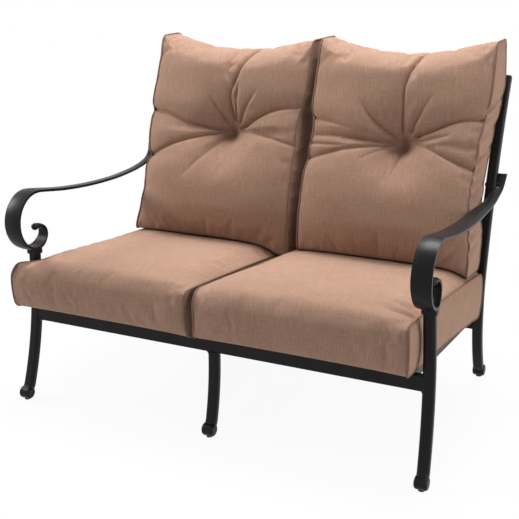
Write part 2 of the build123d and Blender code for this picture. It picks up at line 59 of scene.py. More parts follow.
# Places that the cushions take from the CAD
rail_low, rail_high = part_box("front_rail")
rail_y = (rail_low.y + rail_high.y) / 2
deck_slope = math.radians(6)
deck_height = 0.2835
deck_up = Vector((0, math.sin(deck_slope), math.cos(deck_slope)))
deck_back = Vector((0, math.cos(deck_slope), -math.sin(deck_slope)))
deck_origin = Vector((0, rail_y, deck_height))
leg_y = rail_y + 0.0072

# Cloth
seat_step = 0.009
back_step = 0.012
piping_radius = 0.003
thread_bands = 210
side_panel_shift = 3.1
end_panel_shift = 1.7
sim_frames = 20
sim_pressure = 4.0
cloth_slack = 0.03
puff_reach = 0.035
seat_cap = 0.006
back_cap = 0.009
piping_set = 0.0014
piping_lift = 0.005

# Studio
floor_fade = (0.6, 1.5, 0.94, 1)
world_light = 0.14


def smooth(low, high, value):
    """0 below low, 1 above high and a soft step between them."""
    share = min(max((value - low) / (high - low), 0), 1)
    return share * share * (3 - 2 * share)


def along(table, value):
    """Reads a table of (place, size) rows at a place, softly from row to row."""
    for (place, size), (next_place, next_size) in zip(table, table[1:]):
        if value <= next_place:
            return size + (next_size - size) * smooth(place, next_place, value)
    return table[-1][1]


def straight(table, value):
    """Reads a table of (place, size) rows at a place, in straight runs."""
    for (place, size), (next_place, next_size) in zip(table, table[1:]):
        if value <= next_place:
            share = min(max((value - place) / (next_place - place), 0), 1)
            return size + (next_size - size) * share
    return table[-1][1]


def rounded(x, y, width, height, radii):
    """Moves a point of a rectangle so that its corners turn in arcs: the square at each corner
    is pressed into a quarter of a disc. The radii go round from the origin's corner."""
    for index, (cx, cy) in enumerate(((0, 0), (width, 0), (width, height), (0, height))):
        radius = radii[index]
        inner_x = cx + radius if cx == 0 else cx - radius
        inner_y = cy + radius if cy == 0 else cy - radius
        u = (x - inner_x) / radius * (-1 if cx == 0 else 1)
        v = (y - inner_y) / radius * (-1 if cy == 0 else 1)
        if u > 0 and v > 0:
            disc_u = u * math.sqrt(1 - v * v / 2)
            disc_v = v * math.sqrt(1 - u * u / 2)
            x = inner_x + disc_u * radius * (-1 if cx == 0 else 1)
            y = inner_y + disc_v * radius * (-1 if cy == 0 else 1)
    return x, y


# Materials


def new_material(name):
    """An empty node material with its shader and its output."""
    material = bpy.data.materials.new(name)
    material.use_nodes = True
    tree = material.node_tree
    shader = tree.nodes["Principled BSDF"]
    return material, tree, shader


def add_node(tree, kind, **values):
    """Adds a node; values set its properties, or the sockets of those names."""
    node = tree.nodes.new(kind)
    for key, value in values.items():
        if hasattr(node, key):
            setattr(node, key, value)
        else:
            node.inputs[key.replace("_", " ")].default_value = value
    return node


def ramp(tree, source, rows):
    """A colour ramp over a factor, from (place, colour) rows."""
    node = tree.nodes.new("ShaderNodeValToRGB")
    elements = node.color_ramp.elements
    while len(elements) < len(rows):
        elements.new(0.5)
    for element, (place, colour) in zip(elements, rows):
        element.position = place
        element.color = (*colour, 1)
    tree.links.new(source, node.inputs["Fac"])
    return node.outputs["Color"]


def stretched_noise(tree, vector, scale_u, scale_v, detail):
    """Noise drawn out along one thread direction of the cloth."""
    mapping = add_node(tree, "ShaderNodeMapping")
    mapping.inputs["Scale"].default_value = (scale_u, scale_v, 1)
    tree.links.new(vector, mapping.inputs["Vector"])
    node = add_node(tree, "ShaderNodeTexNoise", Scale=1.0, Detail=detail, Roughness=0.6)
    tree.links.new(mapping.outputs["Vector"], node.inputs["Vector"])
    return node.outputs["Fac"]


def weave_bands(tree, vector, way):
    """Ridges of the threads that run one way."""
    node = add_node(tree, "ShaderNodeTexWave", bands_direction=way, Scale=thread_bands)
    node.inputs["Distortion"].default_value = 0.8
    tree.links.new(vector, node.inputs["Vector"])
    return node.outputs["Fac"]


def math_node(tree, operation, first, second):
    """A math node on two sockets or numbers."""
    node = tree.nodes.new("ShaderNodeMath")
    node.operation = operation
    for socket, value in zip(node.inputs, (first, second)):
        if isinstance(value, (int, float)):
            socket.default_value = value
        else:
            tree.links.new(value, socket)
    return node.outputs[0]


def canvas_material():
    """Tan brown canvas: heathered threads both ways, faint slubs and a soft fuzz."""
    material, tree, shader = new_material("canvas")
    uv = add_node(tree, "ShaderNodeUVMap", uv_map="cloth").outputs["UV"]
    warp = stretched_noise(tree, uv, 620, 22, 3)
    weft = stretched_noise(tree, uv, 22, 620, 3)
    fuzz = stretched_noise(tree, uv, 900, 900, 2)
    blotch = stretched_noise(tree, uv, 9, 9, 4)
    warp_bands = weave_bands(tree, uv, "X")
    weft_bands = weave_bands(tree, uv, "Y")
    bands = math_node(tree, "MULTIPLY", warp_bands, weft_bands)
    streaks = math_node(tree, "MULTIPLY", warp, 0.45)
    streaks = math_node(tree, "ADD", streaks, math_node(tree, "MULTIPLY", weft, 0.3))
    heather = math_node(tree, "ADD", streaks, math_node(tree, "MULTIPLY", fuzz, 0.25))
    colour = ramp(
        tree,
        heather,
        (
            (0.36, (0.265, 0.153, 0.105)),
            (0.5, (0.35, 0.213, 0.152)),
            (0.64, (0.455, 0.292, 0.218)),
        ),
    )
    mix = add_node(tree, "ShaderNodeMix", data_type="RGBA", blend_type="MULTIPLY")
    mix.inputs["Factor"].default_value = 1
    tree.links.new(colour, mix.inputs["A"])
    shade = ramp(tree, blotch, ((0.3, (0.94, 0.93, 0.92)), (0.7, (1, 1, 1))))
    tree.links.new(shade, mix.inputs["B"])
    tree.links.new(mix.outputs["Result"], shader.inputs["Base Color"])
    threads = math_node(tree, "ADD", bands, heather)
    bump = add_node(tree, "ShaderNodeBump", Strength=0.3, Distance=0.0005)
    tree.links.new(threads, bump.inputs["Height"])
    tree.links.new(bump.outputs["Normal"], shader.inputs["Normal"])
    shader.inputs["Roughness"].default_value = 0.9
    shader.inputs["Specular IOR Level"].default_value = 0.1
    shader.inputs["Sheen Weight"].default_value = 0.12
    shader.inputs["Sheen Roughness"].default_value = 0.5
    shader.inputs["Sheen Tint"].default_value = (0.9, 0.75, 0.65, 1)
    return material


def shaded_piping_material():
    """The same canvas cut on the bias, coloured darker all over as painted shade for the dark line
    along each seam.
    """
    material, tree, shader = new_material("canvas_piping_painted_shade")
    place = add_node(tree, "ShaderNodeTexCoord").outputs["Object"]
    threads = stretched_noise(tree, place, 700, 700, 3)
    # Painted shade: the piping is coloured darker than the cover to stand in for the dark line along
    # the seams.
    colour = ramp(
        tree,
        threads,
        ((0.3, (0.14, 0.082, 0.06)), (0.7, (0.28, 0.172, 0.126))),
    )
    tree.links.new(colour, shader.inputs["Base Color"])
    bump = add_node(tree, "ShaderNodeBump", Strength=0.3, Distance=0.0006)
    tree.links.new(threads, bump.inputs["Height"])
    tree.links.new(bump.outputs["Normal"], shader.inputs["Normal"])
    shader.inputs["Roughness"].default_value = 0.9
    shader.inputs["Specular IOR Level"].default_value = 0.1
    shader.inputs["Sheen Weight"].default_value = 0.05
    return material


def frame_material():
    """Dark bronze powder coat over a casting: satin, faintly pebbled, paler where it wears."""
    material, tree, shader = new_material("powder_coat")
    place = add_node(tree, "ShaderNodeTexCoord").outputs["Object"]
    pebble = stretched_noise(tree, place, 1400, 1400, 2)
    casting = stretched_noise(tree, place, 55, 55, 5)
    cloud = stretched_noise(tree, place, 14, 14, 4)
    colour = ramp(
        tree,
        cloud,
        ((0.35, (0.005, 0.0045, 0.005)), (0.65, (0.01, 0.009, 0.0095))),
    )
    tree.links.new(colour, shader.inputs["Base Color"])
    rough = add_node(tree, "ShaderNodeMapRange")
    rough.inputs["To Min"].default_value = 0.3
    rough.inputs["To Max"].default_value = 0.46
    tree.links.new(cloud, rough.inputs["Value"])
    tree.links.new(rough.outputs["Result"], shader.inputs["Roughness"])
    fine = add_node(tree, "ShaderNodeBump", Strength=0.12, Distance=0.0003)
    tree.links.new(pebble, fine.inputs["Height"])
    coarse = add_node(tree, "ShaderNodeBump", Strength=0.25, Distance=0.0012)
    tree.links.new(casting, coarse.inputs["Height"])
    tree.links.new(fine.outputs["Normal"], coarse.inputs["Normal"])
    tree.links.new(coarse.outputs["Normal"], shader.inputs["Normal"])
    shader.inputs["Specular IOR Level"].default_value = 0.16
    return material


def plain_material(name, low, high, roughness, metallic, grain):
    """A small hard part's finish: a grained colour and a fine bump."""
    material, tree, shader = new_material(name)
    place = add_node(tree, "ShaderNodeTexCoord").outputs["Object"]
    mottle = stretched_noise(tree, place, grain, grain, 3)
    colour = ramp(tree, mottle, ((0.35, low), (0.65, high)))
    tree.links.new(colour, shader.inputs["Base Color"])
    bump = add_node(tree, "ShaderNodeBump", Strength=0.1, Distance=0.0002)
    tree.links.new(mottle, bump.inputs["Height"])
    tree.links.new(bump.outputs["Normal"], shader.inputs["Normal"])
    shader.inputs["Roughness"].default_value = roughness
    shader.inputs["Metallic"].default_value = metallic
    return material


# Cushions


class Cushion:
    """A closed cushion on a lattice of columns (left to right), rows and layers. Its shape is a
    function of three shares: across from -1 to 1, and row and layer from 0 to 1. The slack says
    how far its left and its right panel may puff, as a share."""

    def __init__(self, name, body, shape, counts, step, side_slack):
        self.name = name
        self.step = step
        self.side_slack = side_slack
        self.body = body
        self.columns, self.rows, self.layers = counts
        self.index = {}
        self.mesh = bmesh.new()
        for i in range(self.columns + 1):
            for j in range(self.rows + 1):
                for k in range(self.layers + 1):
                    if self.on_skin(i, j, k):
                        across = 2 * i / self.columns - 1
                        place = shape(across, j / self.rows, k / self.layers)
                        self.index[i, j, k] = self.mesh.verts.new(place)
        self.mesh.verts.index_update()
        self.uv = self.mesh.loops.layers.uv.new("cloth")
        for i in range(self.columns + 1):
            for j in range(self.rows + 1):
                for k in range(self.layers + 1):
                    self.add_faces(i, j, k)
        bmesh.ops.recalc_face_normals(self.mesh, faces=self.mesh.faces)

    def on_skin(self, i, j, k):
        """Whether a lattice point is on the outside."""
        return i in (0, self.columns) or j in (0, self.rows) or k in (0, self.layers)

    def add_faces(self, i, j, k):
        """Adds the faces that start at a lattice point, in the three directions."""
        spans = (
            ((0, 1, 0), (0, 0, 1), i in (0, self.columns), 0),
            ((1, 0, 0), (0, 0, 1), j in (0, self.rows), 1),
            ((1, 0, 0), (0, 1, 0), k in (0, self.layers), 2),
        )
        for (a, b, c), (d, e, f), outside, axis in spans:
            corners = (
                (i, j, k),
                (i + a, j + b, k + c),
                (i + a + d, j + b + e, k + c + f),
                (i + d, j + e, k + f),
            )
            if outside and all(corner in self.index for corner in corners):
                face = self.mesh.faces.new([self.index[corner] for corner in corners])
                face.smooth = True
                for loop, corner in zip(face.loops, corners):
                    loop[self.uv].uv = self.cloth_place(corner, axis)

    def cloth_place(self, corner, axis):
        """Where a lattice point lies on its flat panel, in metres."""
        i, j, k = (value * self.step for value in corner)
        if axis == 0:
            return j + side_panel_shift, k
        if axis == 1:
            return i, k + (j + end_panel_shift)
        return i, j + k

    def seam(self, side):
        """Lattice points round one side panel, in order."""
        i = 0 if side < 0 else self.columns
        ring = [(i, j, 0) for j in range(self.rows)]
        ring += [(i, self.rows, k) for k in range(self.layers)]
        ring += [(i, j, self.layers) for j in range(self.rows, 0, -1)]
        ring += [(i, 0, k) for k in range(self.layers, 0, -1)]
        return [self.index[corner].index for corner in ring]


def seam_gaps(cushion):
    """How far each lattice point lies from the nearest seam, over the cloth."""
    gaps = {}
    for (i, j, k), vertex in cushion.index.items():
        if i in (0, cushion.columns):
            cells = min(j, cushion.rows - j, k, cushion.layers - k)
            cells *= cushion.side_slack[0 if i == 0 else 1]
        else:
            cells = min(i, cushion.columns - i)
        gaps[vertex.index] = cells * cushion.step
    return gaps


def bulge(share, sharpness=2.3):
    """1 in the middle of a panel and 0 at its edges, for a share from -1 to 1."""
    return 1 - min(abs(share), 1) ** sharpness


def blended(edge, middle, share):
    """Two lists of radii mixed, the first at the cushion's sides and the second inside."""
    return [low + (high - low) * (1 - share) for low, high in zip(edge, middle)]


def puff(covers, limits):
    """Puffs the covers with their seams pinned. Each point moves no further than its limit."""
    for piece, pins, gaps in covers:
        group = piece.vertex_groups.new(name="pins")
        for index, weight in pins.items():
            group.add([index], weight, "REPLACE")
        modifier = piece.modifiers.new("Cloth", "CLOTH")
        modifier.point_cache.frame_start = 1
        modifier.point_cache.frame_end = sim_frames
        modifier.collision_settings.use_collision = False
        settings = modifier.settings
        settings.quality = 5
        settings.mass = 0.3
        settings.tension_stiffness = 15
        settings.compression_stiffness = 10
        settings.shear_stiffness = 5
        settings.bending_stiffness = 0.3
        settings.use_pressure = True
        settings.uniform_pressure_force = sim_pressure
        settings.vertex_group_mass = "pins"
        settings.pin_stiffness = 1
        settings.shrink_min = -cloth_slack
        settings.effector_weights.gravity = 0
    scene = bpy.context.scene
    for number in range(1, sim_frames + 1):
        scene.frame_set(number)
    graph = bpy.context.evaluated_depsgraph_get()
    for (piece, pins, gaps), limit in zip(covers, limits):
        puffed = piece.evaluated_get(graph).to_mesh()
        places = [vertex.co.copy() for vertex in puffed.vertices]
        piece.evaluated_get(graph).to_mesh_clear()
        for vertex, place in zip(piece.data.vertices, places):
            step = place - vertex.co
            most = limit * (1 - math.exp(-gaps[vertex.index] / puff_reach))
            if step.length > most:
                step *= most / step.length
            vertex.co += step
        piece.modifiers.clear()
        piece.vertex_groups.clear()
        piece.data.update()
    scene.frame_set(1)


def subdivide(piece, levels):
    """Applies smooth subdivision to a piece."""
    modifier = piece.modifiers.new("Smooth", "SUBSURF")
    modifier.levels = levels
    modifier.render_levels = levels
    graph = bpy.context.evaluated_depsgraph_get()
    mesh = bpy.data.meshes.new_from_object(piece.evaluated_get(graph))
    piece.modifiers.remove(modifier)
    piece.data = mesh
    for polygon in mesh.polygons:
        polygon.use_smooth = True


def add_piping(name, body, points, material):
    """A closed run of piping through a seam's points."""
    curve = bpy.data.curves.new(name, "CURVE")
    curve.dimensions = "3D"
    curve.bevel_depth = piping_radius
    curve.bevel_resolution = 3
    spline = curve.splines.new("NURBS")
    spline.points.add(len(points) - 1)
    for point, place in zip(spline.points, points):
        point.co = (*place, 1)
    spline.use_cyclic_u = True
    spline.order_u = 4
    spline.resolution_u = 3
    piece = bpy.data.objects.new(name, curve)
    bpy.context.scene.collection.objects.link(piece)
    curve.materials.append(material)
    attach(piece, body)
    return piece


def crease(across, height, line, width):
    """How deep a crease through a line of points presses at each place. Each row of the line
    gives across, height and depth."""
    best_gap = np.full(len(across), np.inf)
    best_depth = np.zeros(len(across))
    for (x0, z0, d0), (x1, z1, d1) in zip(line, line[1:]):
        run_x, run_z = x1 - x0, z1 - z0
        share = ((across - x0) * run_x + (height - z0) * run_z) / (run_x**2 + run_z**2)
        share = np.clip(share, 0, 1)
        gap = np.hypot(across - x0 - run_x * share, height - z0 - run_z * share)
        depth = d0 + (d1 - d0) * share
        best_depth = np.where(gap < best_gap, depth, best_depth)
        best_gap = np.minimum(gap, best_gap)
    near = best_gap / width
    return best_depth * np.exp(-(near**fold_sharpness))


def softened(line):
    """A line of rows with its corners cut twice, so that it bends in a curve."""
    for turn in range(2):
        cut = [line[0]]
        for start, end in zip(line, line[1:]):
            cut.append([a * 0.75 + b * 0.25 for a, b in zip(start, end)])
            cut.append([a * 0.25 + b * 0.75 for a, b in zip(start, end)])
        line = [*cut, line[-1]]
    return line


def read_mesh(mesh):
    """The places and the normals of a mesh's points, as two arrays."""
    places = np.empty(len(mesh.vertices) * 3)
    mesh.vertices.foreach_get("co", places)
    normals = np.empty(len(mesh.vertices) * 3)
    mesh.vertex_normals.foreach_get("vector", normals)
    return places.reshape(-1, 3), normals.reshape(-1, 3)


def write_mesh(mesh, places):
    """Moves a mesh's points to new places."""
    mesh.vertices.foreach_set("co", places.reshape(-1))
    mesh.update()


def steps(low, high, values):
    """The soft step of smooth() on an array."""
    share = np.clip((values - low) / (high - low), 0, 1)
    return share * share * (3 - 2 * share)


def noise_field(places, scale, shift):
    """Smooth noise at each place, with its own scale along each axis."""
    offset = np.array((shift, shift * 0.7, -shift))
    return np.array([noise.noise(Vector(place)) for place in places * np.array(scale) + offset])


# Floor, light and camera


def seen_share(tree):
    """A factor that is 1 for rays from the camera and for those off gloss or through glass."""
    path = add_node(tree, "ShaderNodeLightPath")
    share = math_node(tree, "MAXIMUM", path.outputs["Is Camera Ray"], path.outputs["Is Glossy Ray"])
    return math_node(tree, "MAXIMUM", share, path.outputs["Is Transmission Ray"])


def floor_material():
    """A pale floor that is seen as white and still keeps a faint shadow."""
    material, tree, shader = new_material("floor")
    output = tree.nodes["Material Output"]
    shader.inputs["Base Color"].default_value = (0.8, 0.8, 0.8, 1)
    shader.inputs["Roughness"].default_value = 0.9
    glow = add_node(tree, "ShaderNodeEmission", Strength=1.0)
    mix = add_node(tree, "ShaderNodeMixShader")
    place = add_node(tree, "ShaderNodeTexCoord").outputs["Object"]
    distance = add_node(tree, "ShaderNodeVectorMath", operation="LENGTH")
    tree.links.new(place, distance.inputs[0])
    fade = add_node(tree, "ShaderNodeMapRange", interpolation_type="SMOOTHSTEP")
    for socket, value in zip(("From Min", "From Max", "To Min", "To Max"), floor_fade):
        fade.inputs[socket].default_value = value
    tree.links.new(distance.outputs["Value"], fade.inputs["Value"])
    share = math_node(tree, "MULTIPLY", seen_share(tree), fade.outputs["Result"])
    tree.links.new(share, mix.inputs["Fac"])
    tree.links.new(shader.outputs["BSDF"], mix.inputs[1])
    tree.links.new(glow.outputs["Emission"], mix.inputs[2])
    tree.links.new(mix.outputs["Shader"], output.inputs["Surface"])
    return material


def light_world():
    """White to the camera and to gloss, and a soft grey light on everything else."""
    world = bpy.data.worlds.new("studio")
    bpy.context.scene.world = world
    world.use_nodes = True
    tree = world.node_tree
    background = tree.nodes["Background"]
    spread = add_node(tree, "ShaderNodeMapRange")
    spread.inputs["To Min"].default_value = world_light
    spread.inputs["To Max"].default_value = 1
    tree.links.new(seen_share(tree), spread.inputs["Value"])
    tree.links.new(spread.outputs["Result"], background.inputs["Strength"])
    background.inputs["Color"].default_value = (1, 1, 1, 1)


def add_lamp(name, place, target, size, power):
    """A square soft box that looks at a point."""
    light = bpy.data.lights.new(name, "AREA")
    light.size = size
    light.energy = power
    lamp = bpy.data.objects.new(name, light)
    lamp.location = place
    lamp.rotation_euler = (Vector(target) - Vector(place)).to_track_quat("-Z", "Y").to_euler()
    bpy.context.scene.collection.objects.link(lamp)


def add_camera():
    """The photograph's camera."""
    yaw, pitch, roll = camera_yaw, camera_pitch, camera_roll
    right = Vector((math.cos(yaw), math.sin(yaw), 0))
    ahead = Vector(
        (
            -math.sin(yaw) * math.cos(pitch),
            math.cos(yaw) * math.cos(pitch),
            -math.sin(pitch),
        )
    )
    up = right.cross(ahead)
    across = right * math.cos(roll) + up * math.sin(roll)
    upward = up * math.cos(roll) - right * math.sin(roll)
    turn = Matrix((across, upward, -ahead)).transposed()
    data = bpy.data.cameras.new("camera")
    data.sensor_width = 36
    data.lens = focal_pixels / frame_pixels * data.sensor_width
    data.shift_x = (frame_pixels / 2 - centre_pixel_x) / frame_pixels
    data.shift_y = (centre_pixel_y - frame_pixels / 2) / frame_pixels
    camera = bpy.data.objects.new("camera", data)
    camera.matrix_world = Matrix.Translation(camera_place) @ turn.to_4x4()
    bpy.context.scene.collection.objects.link(camera)
    bpy.context.scene.camera = camera


# Seat cushions: shares and lengths along the deck, from the nose to the rear

seat_front = -0.063
seat_rear = 0.552
seat_bottom = 0.0016
seat_side_top = 0.139
seat_crown = 0.026
seat_fullness = 6.5
seat_nose_bulge = 0.007
seat_nose_lean = 0.017
nose_run = (0, 0.35)
crown_start = (-0.02, 0.2)
crown_end = (0.97, 1)
crown_end_drop = 0.3
seat_radii_left = (0.022, 0.02, 0.02, 0.05)
seat_radii_right = (0.016, 0.02, 0.02, 0.02)
seat_radii_middle = (0.03, 0.026, 0.026, 0.05)
seat_draw = ((0, 0), (0.12, 0.002), (0.5, 0.007), (0.9, 0.004), (1, 0))
seat_side_bulge = 0.004
seat_unevenness = 0.0012
seat_ripple = 0.0006
ear_front_x = -0.626
ear_rear_x = -0.598
leg_inner_x = -0.578
ear_step_start = -0.05
ear_step_end = -0.02
gap_front_x = -0.038
gap_rear_x = -0.011
gap_half = 0.0055
gap_bow = 0.009
gap_bow_run = (0.02, 0.16)
right_front_x = 0.567
right_rear_x = 0.594


def deck_point(x, s, n):
    """A point over the seat deck: across, back along the deck and up from it."""
    return deck_origin + Vector((x, 0, 0)) + deck_back * s + deck_up * n


def off_deck(place):
    """A piping's point, lifted where the piping would reach through the deck."""
    height = (place - deck_origin).dot(deck_up)
    return place + deck_up * max(piping_lift - height, 0)


def side_line(front_x, rear_x):
    """A straight side line between the front and the rear of the deck."""

    def line(point):
        share = (point.y - deck_origin.y - seat_front) / (seat_rear - seat_front)
        return front_x + (rear_x - front_x) * share

    return line


def gap_line(front_x, rear_x, way):
    """A side line beside the gap: the front of the seam bows away from its neighbour."""

    def line(point):
        rise = (point - deck_origin).dot(deck_up) / seat_side_top
        place = (point - deck_origin).dot(deck_back) - seat_front
        bow = gap_bow * bulge(2 * rise - 1, 2) * (1 - smooth(*gap_bow_run, place))
        return side_line(front_x, rear_x)(point) + way * bow

    return line


def ear_line(point):
    """The left cushion's outer side: it swells in front of the leg and runs inside it."""
    ear = side_line(ear_front_x, ear_rear_x)(point)
    inside = smooth(ear_step_start, ear_step_end, point.y - leg_y)
    return ear + (max(leg_inner_x, ear) - ear) * inside


def seat_shape(left_line, right_line, left_swell, right_swell):
    """The shape of a seat cushion between two side lines."""

    def shape(across, depth, height):
        length = seat_rear - seat_front
        thickness = seat_side_top - seat_bottom
        edge = seat_radii_left if across < 0 else seat_radii_right
        radii = blended(edge, seat_radii_middle, abs(across) ** 3)
        s, n = rounded(depth * length, height * thickness, length, thickness, radii)
        share = s / length
        n_share = n / thickness
        crown = seat_crown * bulge(across, seat_fullness) * smooth(*crown_start, share)
        crown *= 1 - crown_end_drop * smooth(*crown_end, share)
        nose = seat_nose_bulge * bulge(2 * n_share - 1, 2) * (1 - smooth(*nose_run, share))
        nose *= 0.55 + 0.45 * bulge(across, 4)
        nose += seat_nose_lean * n_share * (1 - smooth(*nose_run, share))
        s += seat_front - nose
        n = seat_bottom + n + crown * max(n_share, 0) ** 1.5
        draw = straight(seat_draw, share)
        swell = bulge(2 * n_share - 1, 2)
        flat = deck_point(0, s, n)
        left = left_line(flat) + draw - left_swell * swell
        right = right_line(flat) - draw + right_swell * swell
        return deck_point((left + right) / 2 + across * (right - left) / 2, s, n)

    return shape


def seat_pins(cushion):
    """Seams, the rear panel and what rests on the deck stay put."""
    pins = {}
    for (i, j, k), vertex in cushion.index.items():
        if k == 0 or j == cushion.rows or on_seam(cushion, i, j, k):
            pins[vertex.index] = 1
    return pins


def on_seam(cushion, i, j, k):
    """Whether a lattice point lies on the edge of a side panel."""
    ends = i in (0, cushion.columns)
    return ends and (j in (0, cushion.rows) or k in (0, cushion.layers))


# Back cushions: heights over the floor, and places across from each one's own middle

left_back_x = -0.242
right_back_x = 0.326
left_seat_ends = (-0.605, -0.018)
right_seat_ends = (-0.01, 0.59)
left_back_tops = (1.019, 1.018)
right_back_tops = (1.024, 1.03)
back_foot_z = 0.508
lean_start = 0.09
back_foot_y = 0.0731
back_lean = math.radians(21.1)
back_slope = math.tan(back_lean)
back_normal = Vector((0, -math.cos(back_lean), math.sin(back_lean)))
back_flat_depth = 0.15
back_flat_height = 0.62
back_low_z = 0.4
back_low_y = 0.08
back_low_run = 0.14
back_low_half = 0.25
back_dip = 0.047
back_panel_depth = ((0.4, 0.14), (0.6, 0.15), (0.75, 0.162), (0.9, 0.158), (1.03, 0.115))
back_rest = ((0.34, 0.2135), (0.5, 0.248), (0.7, 0.3155), (0.9, 0.403), (1.05, 0.392))
back_crown = (
    (0.36, 0.006),
    (0.43, 0.018),
    (0.52, 0.029),
    (0.62, 0.033),
    (0.7, 0.03),
    (0.75, 0.024),
    (0.82, 0.027),
    (0.92, 0.027),
    (0.98, 0.018),
    (1.03, 0.008),
)
back_radii_side = (0.012, 0.02, 0.022, 0.02)
back_radii_middle = (0.016, 0.02, 0.05, 0.042)
back_side_bulge = 0.003
tuft_x = 0.02
tuft_z = 0.739
fold_depth = 1.5
fold_width = 0.66
fold_sharpness = 1.5
fold_spread = 3.4
valley_depth = 3.0
pucker_depth = 0.0016
pucker_z = 0.7
pucker_reach = 0.16
pinch_fade = (0.02, 0.13)
pinch_slant = 0.12
pinch_width = 0.0085
pinch_share = 1.3
back_unevenness = 0.0014
tuft_pit = (0.048, 0.034)
tuft_dish = (0.036, 0.105)
tuft_hold = (0.012, 0.05)
tuft_clear = (0.012, 0.055)
seat_lap = 0.001


def lean_rise(rise):
    """How far a point is over the foot of the lean, which sets in softly."""
    if rise > lean_start:
        return rise
    if rise < -lean_start:
        return 0
    return (rise + lean_start) ** 2 / (4 * lean_start)


def back_bottom(x, y, seat_left, seat_right):
    """Height of the seat cushions' crowned top under a back cushion."""
    middle = (seat_left + seat_right) / 2
    share = (x - middle) / ((seat_right - seat_left) / 2)
    edge = (seat_right - seat_left) / 2 * (1 - min(abs(share), 1))
    crown = seat_crown * bulge(share, seat_fullness)
    puffed = seat_cap * (1 - math.exp(-edge / puff_reach))
    rise = seat_side_top + crown + puffed + seat_lap
    return deck_height - math.tan(deck_slope) * (y - rail_y) + rise / math.cos(deck_slope)


def back_shape(middle, left_edge, right_edge, seat_ends, tops):
    """The shape of a back cushion about its middle, between two side edges."""

    def shape(across, height, depth):
        radii = blended(back_radii_side, back_radii_middle, abs(across) ** 3)
        deep = back_flat_depth
        tall = back_flat_height
        u, v = rounded(depth * deep, height * tall, deep, tall, radii)
        u_share = u / deep
        v_share = v / tall
        top = (tops[0] + tops[1]) / 2 + across * (tops[1] - tops[0]) / 2
        top -= back_dip * bulge(across, 2.2)
        rough_z = back_low_z + (top - back_low_z) * v_share
        low_x = middle + across * back_low_half
        low_z = back_bottom(low_x, back_low_y + back_low_run * u_share, *seat_ends)
        z = low_z + (top - low_z) * v_share
        left = straight(left_edge, rough_z)
        right = straight(right_edge, rough_z)
        swell = back_side_bulge * bulge(2 * u_share - 1, 2) * bulge(2 * v_share - 1, 4)
        half = (right - left) / 2
        x = (left + right) / 2 + across * (half + swell)
        front = back_foot_y + back_slope * lean_rise(z - back_foot_z)
        seam = front + along(back_panel_depth, z)
        rear = seam + (straight(back_rest, z) - seam) * bulge(across, 3)
        place = Vector((middle + x, front + (rear - front) * u_share, z))
        reach = (1 - u_share) ** 2
        crown = along(back_crown, z) * bulge(across, 2.4)
        radius = math.hypot(x - tuft_x, z - tuft_z)
        dent = tuft_pit[0] * math.exp(-((radius / tuft_pit[1]) ** 2))
        dent += tuft_dish[0] * math.exp(-((radius / tuft_dish[1]) ** 2))
        return place + back_normal * (crown - dent) * reach

    return shape


def back_pins(middle):
    """Seams, the tuft, the foot and what leans on the frame stay put."""

    def pins(cushion):
        held = {}
        for (i, j, k), vertex in cushion.index.items():
            place = vertex.co
            radius = math.hypot(place.x - middle - tuft_x, place.z - tuft_z)
            hold = 0
            if k == 0:
                hold = 1 - smooth(*tuft_hold, radius)
            if j == 0 or k == cushion.layers or on_seam(cushion, i, j, k):
                hold = 1
            if hold > 0:
                held[vertex.index] = hold
        return held

    return pins


def press(piece, middle, folds, puckers):
    """Presses the folds that run from the tuft into a back cushion's front, gathers both side
    panels a little and pinches the right one at its puckers."""
    places, normals = read_mesh(piece.data)
    facing = steps(0.1, 0.6, normals @ np.array(back_normal))
    across, height = places[:, 0] - middle, places[:, 2]
    grooves = np.zeros(len(places))
    valleys = np.zeros(len(places))
    for rows, width, share in folds:
        line = softened(rows)
        groove = crease(across, height, line, width * fold_width)
        valley = share * crease(across, height, line, width * fold_spread)
        grooves = np.maximum(grooves, groove)
        valleys = np.maximum(valleys, valley)
    depth = fold_depth * grooves + valley_depth * valleys
    depth *= 0.15 + 0.85 * steps(*tuft_clear, np.hypot(across - tuft_x, height - tuft_z))
    depth += back_unevenness * noise_field(places, (15, 15, 15), middle * 9)
    side = steps(0.45, 0.8, np.abs(normals[:, 0]))
    ridges = 1 - 2.2 * np.abs(noise_field(places, (0, 9, 21), middle * 5))
    ripple = noise_field(places, (0, 20, 60), middle * 7)
    strength = pucker_depth * (0.45 + np.exp(-(((height - pucker_z) / pucker_reach) ** 2)))
    sway = np.sign(normals[:, 0]) * (ridges + 0.5 * ripple) * strength * side
    places = places - np.outer(depth * facing, np.array(back_normal))
    front = back_foot_y + back_slope * np.maximum(height - back_foot_z, 0)
    behind = places[:, 1] - front
    fade = 1 - 0.75 * steps(*pinch_fade, behind)
    for level, size in puckers:
        pinch = np.exp(-np.abs((height - level - pinch_slant * behind) / pinch_width) ** 1.6)
        sway -= pinch_share * size * pinch * fade * side * (normals[:, 0] > 0)
    places[:, 0] += sway
    write_mesh(piece.data, places)


def press_seat(piece, folds):
    """Presses a seat cushion's few puckers in, and makes its top uneven."""
    places, normals = read_mesh(piece.data)
    outward = steps(-0.3, 0.3, normals[:, 2])
    step = seat_unevenness * noise_field(places, (7, 7, 7), 0)
    step = step + seat_ripple * noise_field(places, (28, 12, 28), 3)
    step *= outward
    upward = steps(0.2, 0.7, normals[:, 2])
    for line, width in folds:
        step -= crease(places[:, 0], places[:, 1], line, width) * upward
    write_mesh(piece.data, places + normals * step[:, None])


